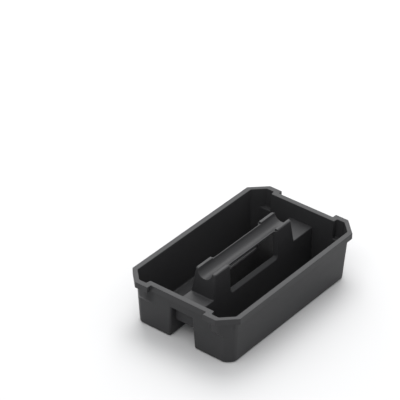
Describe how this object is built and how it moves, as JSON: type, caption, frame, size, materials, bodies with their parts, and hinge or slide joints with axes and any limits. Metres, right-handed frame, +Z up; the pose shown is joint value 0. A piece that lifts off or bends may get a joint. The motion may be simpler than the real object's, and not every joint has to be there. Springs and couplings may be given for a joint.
{
  "type": "tool storage caddy",
  "caption": "Open two-bin moulded tool caddy with a raised centre handle on a hollow spine, a skirted rim and stepped chamfered corners.",
  "frame": {"origin": "middle of the footprint, on the plane the bins stand on", "axes": "+X along the length, past the right end; +Y across the width, towards the far bin; +Z up"},
  "size_m": [0.36, 0.2176, 0.1085],
  "materials": {
    "moulded_polypropylene": "charcoal moulded polypropylene, fine spark-eroded grain"
  },
  "bodies": {
    "root": {"near_bin": "moulded_polypropylene", "far_bin": "moulded_polypropylene", "near_left_corner_pocket": "moulded_polypropylene", "near_right_corner_pocket": "moulded_polypropylene", "far_left_corner_pocket": "moulded_polypropylene", "far_right_corner_pocket": "moulded_polypropylene", "near_left_corner_cap": "moulded_polypropylene", "near_right_corner_cap": "moulded_polypropylene", "near_rim_rail": "moulded_polypropylene", "far_left_corner_cap": "moulded_polypropylene", "far_right_corner_cap": "moulded_polypropylene", "far_rim_rail": "moulded_polypropylene", "left_end_rail": "moulded_polypropylene", "right_end_rail": "moulded_polypropylene", "left_end_bridge": "moulded_polypropylene", "right_end_bridge": "moulded_polypropylene", "left_shelf": "moulded_polypropylene", "right_shelf": "moulded_polypropylene", "left_tunnel_rib": "moulded_polypropylene", "right_tunnel_rib": "moulded_polypropylene", "left_handle_post": "moulded_polypropylene", "right_handle_post": "moulded_polypropylene", "handle_grip": "moulded_polypropylene", "near_hand_lip": "moulded_polypropylene", "far_hand_lip": "moulded_polypropylene"}
  },
  "joints": []
}
